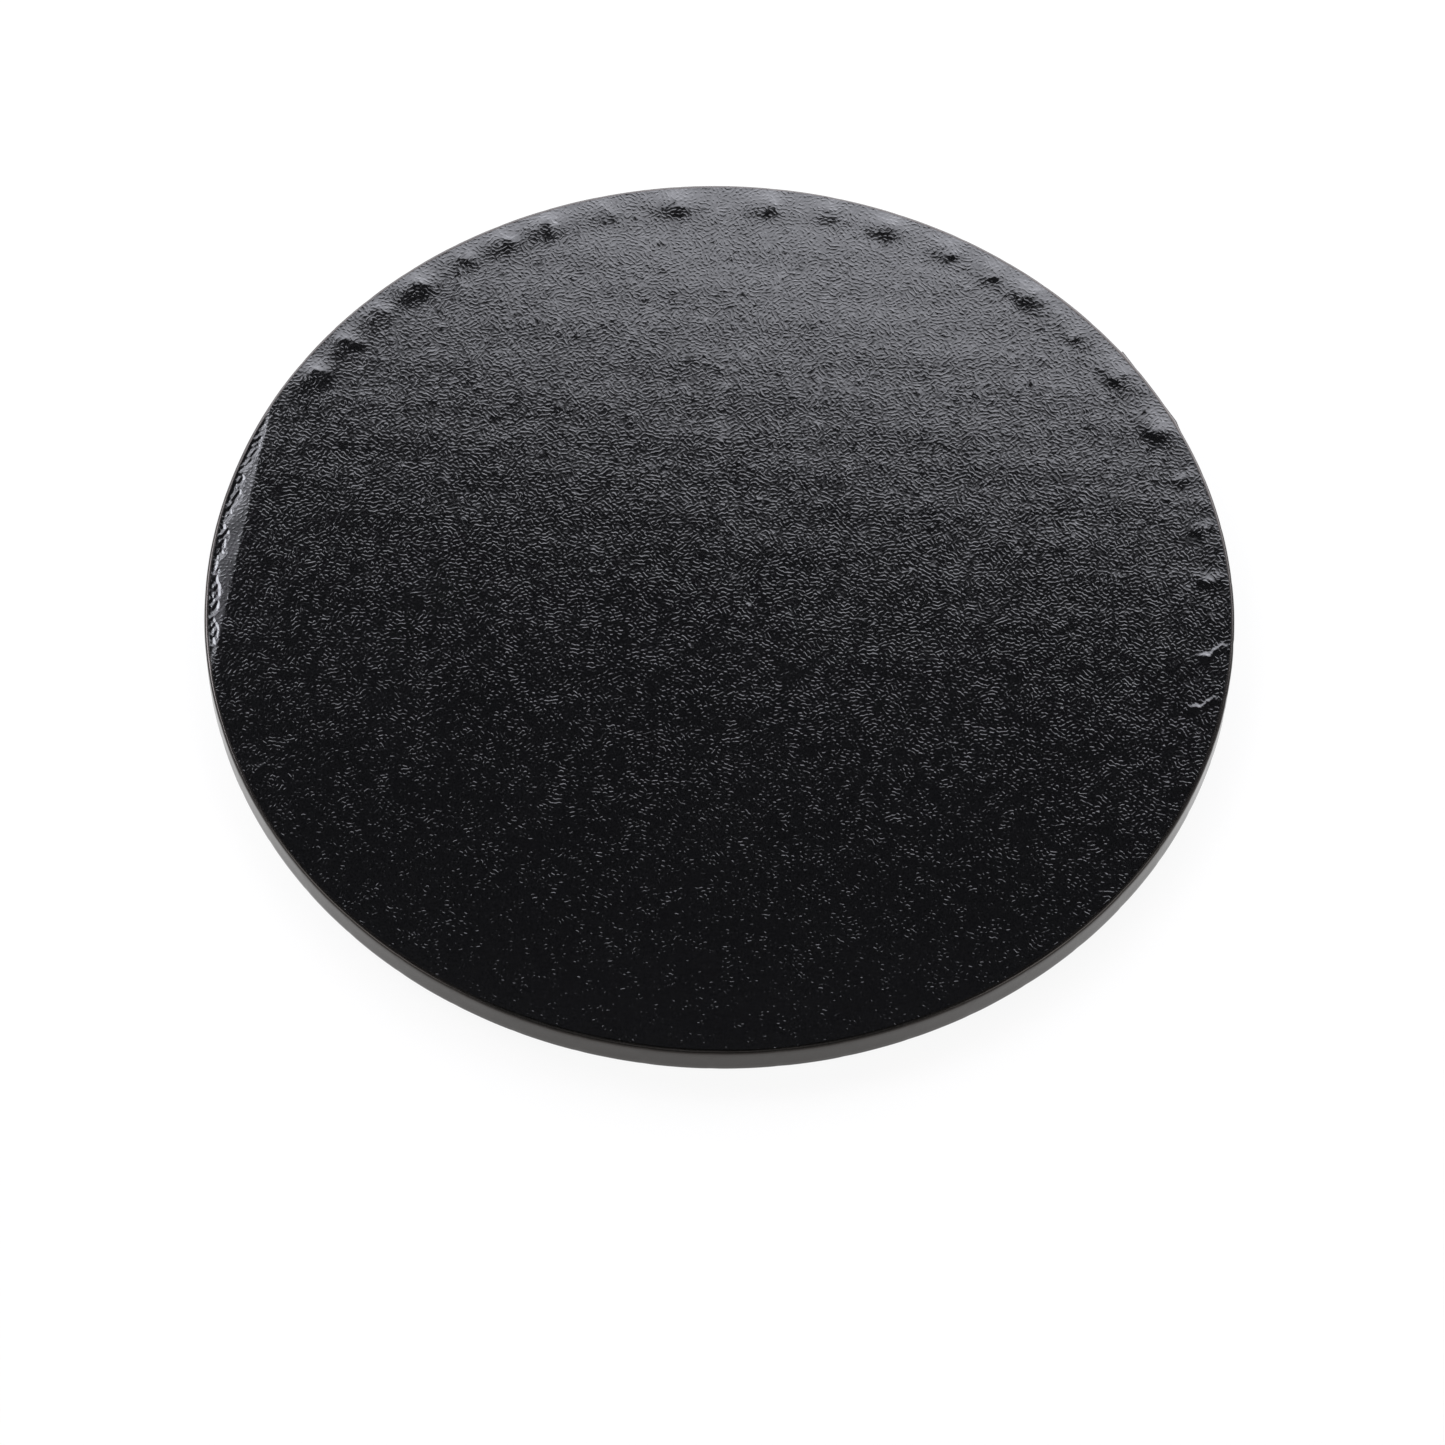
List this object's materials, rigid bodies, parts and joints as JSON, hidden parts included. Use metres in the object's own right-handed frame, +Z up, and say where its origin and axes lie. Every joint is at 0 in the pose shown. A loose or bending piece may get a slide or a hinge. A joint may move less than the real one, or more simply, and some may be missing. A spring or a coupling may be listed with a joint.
{
  "type": "cake board",
  "caption": "Round black cake board: a stiff card disc with an embossed foil-paper top and a smooth foil-paper edge strip turned in over both faces.",
  "frame": {"origin": "centre of the underside, on the surface that the board stands on", "axes": "+Z up through the board's thickness; -Y towards the viewer of the picture, +X to the viewer's right"},
  "size_m": [0.35, 0.35, 0.012],
  "materials": {
    "grey_card": "matte",
    "smooth_foil_paper": "gloss",
    "embossed_foil_paper": "gloss",
    "white_paper": "matte"
  },
  "bodies": {
    "root": {"core_board": "grey_card", "edge_band": "smooth_foil_paper", "top_cover": "embossed_foil_paper", "base_paper": "white_paper"}
  },
  "joints": []
}
